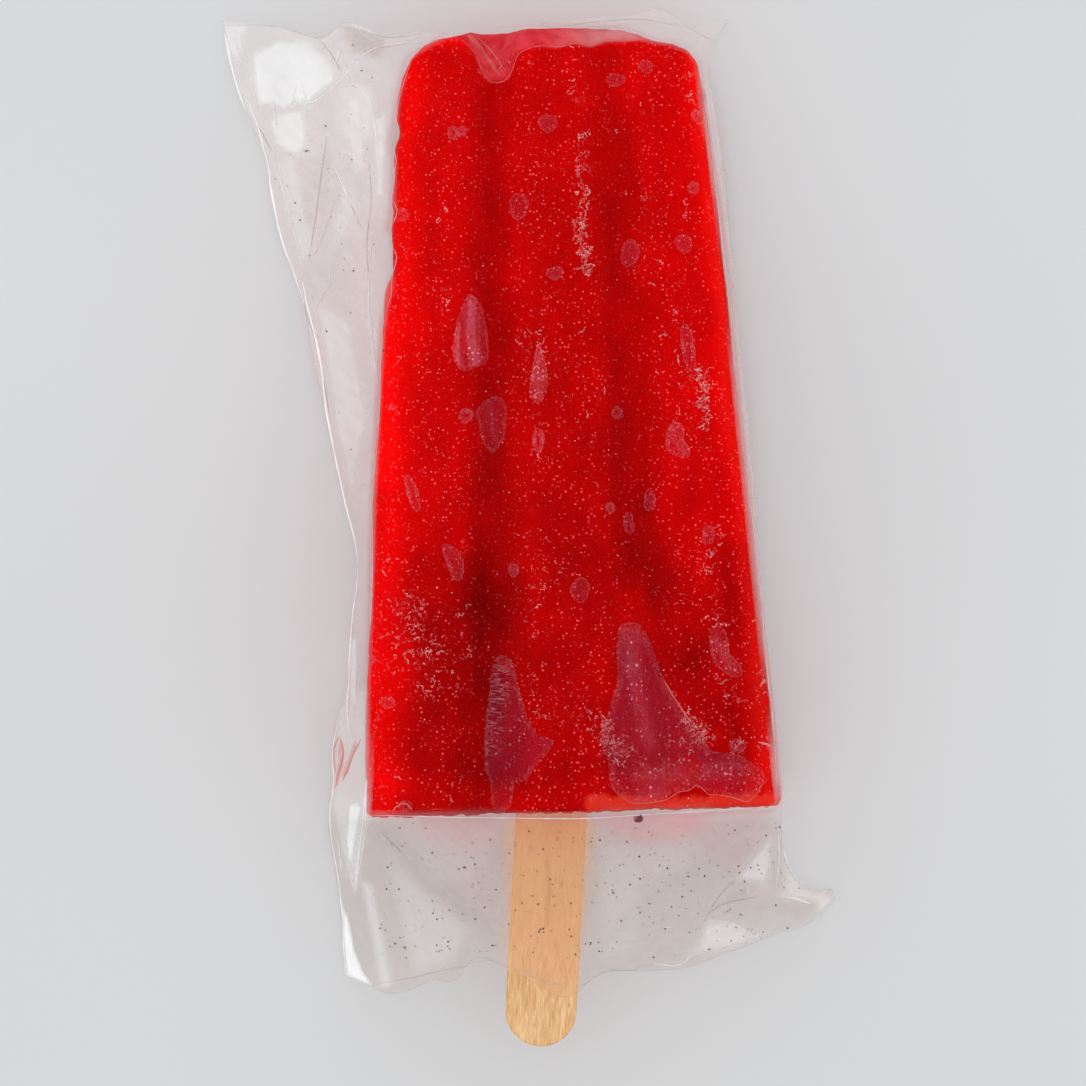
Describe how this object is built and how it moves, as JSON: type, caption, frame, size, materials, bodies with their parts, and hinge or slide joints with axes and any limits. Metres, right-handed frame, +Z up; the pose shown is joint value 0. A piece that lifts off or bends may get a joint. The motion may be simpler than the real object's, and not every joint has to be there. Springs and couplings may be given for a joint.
{
  "type": "ice pop",
  "caption": "Fluted red ice pop frozen on a flat wooden stick, lying on its back in its clear crumpled film bag, which is open at the stick end.",
  "frame": {"origin": "on the ground, under the middle of the whole pop's box", "axes": "+Y towards the pop's tip and the bag's shut end, +X to the right seen from above, +Z up; the pop's own axis is turned 1.6 degrees from +Y"},
  "size_m": [0.084, 0.1402, 0.0234],
  "materials": {
    "ice": "wet red fruit ice, slightly cloudy, with frost and small bubbles",
    "wood": "bare pale birch, fine grain along its length",
    "film": "thin clear crumpled plastic film, slightly milky with frost"
  },
  "bodies": {
    "root": {"ice_body": "ice", "stick": "wood", "film_bag": "film"}
  },
  "joints": []
}
